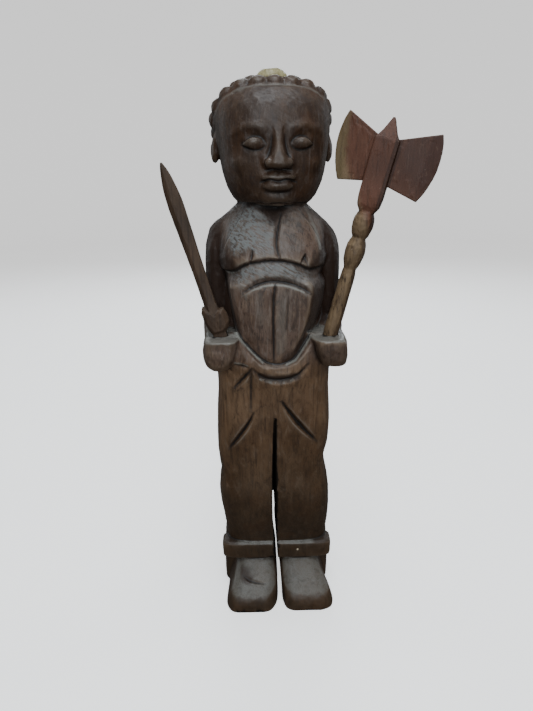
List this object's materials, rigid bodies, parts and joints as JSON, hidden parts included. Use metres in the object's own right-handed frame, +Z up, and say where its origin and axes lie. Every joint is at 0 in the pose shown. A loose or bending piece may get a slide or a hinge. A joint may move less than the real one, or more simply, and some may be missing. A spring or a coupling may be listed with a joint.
{
  "type": "carved wooden figure with sword and double axe",
  "caption": "Standing carved wooden man in cuffed trousers and shoes, with a leaf-bladed sword in one fist and a double-bladed axe in the other, on two flat soles.",
  "frame": {"origin": "on the ground under the middle of the object's box, sword and axe included; the figure stands 19 mm to the -X side of it", "axes": "+Z up along the figure, -Y the way the figure faces, +X to the viewer's right, where the double axe is"},
  "size_m": [0.202, 0.105, 0.4625],
  "materials": {
    "figure_wood": "dark brown stain under a worn satin varnish, short tool marks, one bare pale knob at the crown",
    "sword_wood": "matte mid-brown stained wood",
    "axe_wood": "thin red-brown stain on the head, wearing to ochre and olive on the handle and beads"
  },
  "bodies": {
    "root": {"figure": "figure_wood", "sword": "sword_wood", "double_axe": "axe_wood"}
  },
  "joints": []
}
